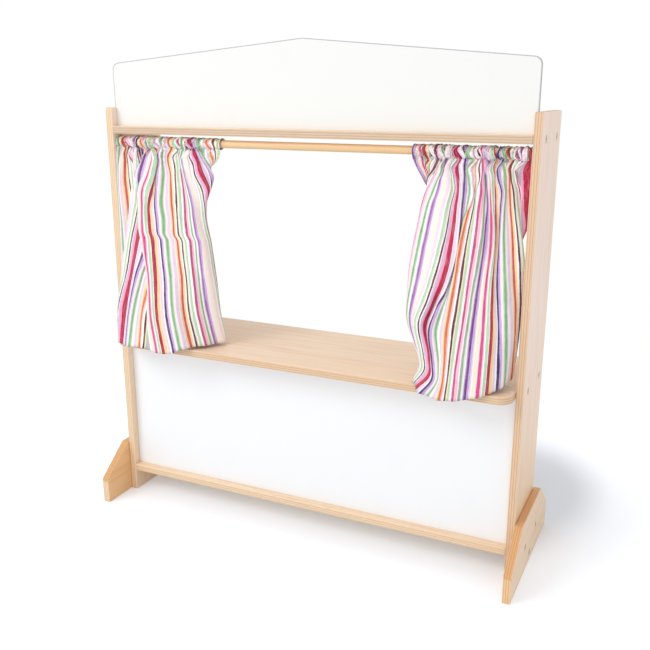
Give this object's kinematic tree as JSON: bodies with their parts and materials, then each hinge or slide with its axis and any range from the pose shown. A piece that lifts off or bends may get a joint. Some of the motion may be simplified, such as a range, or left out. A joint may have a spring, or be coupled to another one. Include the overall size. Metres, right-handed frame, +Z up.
{
  "type": "puppet theater stand",
  "caption": "Child's free-standing puppet theater: plywood sides on feet, stage shelf, white marker boards above and below, and gathered striped curtains sliding on a dowel.",
  "frame": {"origin": "on the floor, at the middle of the stand's width and depth", "axes": "+X across the stage to the audience's right, +Y from the audience towards the puppeteer, +Z up"},
  "size_m": [1.1386, 0.4, 1.2188],
  "materials": {
    "maple_ply": "clear-coated maple-faced plywood, satin",
    "dowel_wood": "clear-coated hardwood dowel, satin",
    "marker_board": "glossy white dry-erase laminate",
    "bolt_steel": "satin nickel",
    "zinc_steel": "zinc plated",
    "curtain_cloth": "plain-weave cotton with printed stripes"
  },
  "bodies": {
    "stand": {"top_rail": "maple_ply", "stage_shelf": "maple_ply", "bottom_rail": "maple_ply", "header_board": "marker_board", "lower_board": "marker_board", "curtain_rod": "dowel_wood", "left_side_panel": "maple_ply", "left_foot": "maple_ply", "left_top_rail_front_bolt": "bolt_steel", "left_top_rail_front_cross_dowel": "zinc_steel", "left_top_rail_rear_bolt": "bolt_steel", "left_top_rail_rear_cross_dowel": "zinc_steel", "left_shelf_front_bolt": "bolt_steel", "left_shelf_front_cross_dowel": "zinc_steel", "left_shelf_rear_bolt": "bolt_steel", "left_shelf_rear_cross_dowel": "zinc_steel", "left_bottom_rail_front_bolt": "bolt_steel", "left_bottom_rail_front_cross_dowel": "zinc_steel", "left_bottom_rail_rear_bolt": "bolt_steel", "left_bottom_rail_rear_cross_dowel": "zinc_steel", "left_foot_bolt": "bolt_steel", "left_foot_insert": "zinc_steel", "right_side_panel": "maple_ply", "right_foot": "maple_ply", "right_top_rail_front_bolt": "bolt_steel", "right_top_rail_front_cross_dowel": "zinc_steel", "right_top_rail_rear_bolt": "bolt_steel", "right_top_rail_rear_cross_dowel": "zinc_steel", "right_shelf_front_bolt": "bolt_steel", "right_shelf_front_cross_dowel": "zinc_steel", "right_shelf_rear_bolt": "bolt_steel", "right_shelf_rear_cross_dowel": "zinc_steel", "right_bottom_rail_front_bolt": "bolt_steel", "right_bottom_rail_front_cross_dowel": "zinc_steel", "right_bottom_rail_rear_bolt": "bolt_steel", "right_bottom_rail_rear_cross_dowel": "zinc_steel", "right_foot_bolt": "bolt_steel", "right_foot_insert": "zinc_steel"},
    "left_curtain": {"left_curtain": "curtain_cloth"},
    "right_curtain": {"right_curtain": "curtain_cloth"}
  },
  "joints": [
    {"name": "left_curtain_slide", "type": "slide", "parent": "stand", "child": "left_curtain", "axis": [1, 0, 0], "range_m": [0, 0.24]},
    {"name": "right_curtain_slide", "type": "slide", "parent": "stand", "child": "right_curtain", "axis": [-1, 0, 0], "range_m": [0, 0.24]}
  ]
}
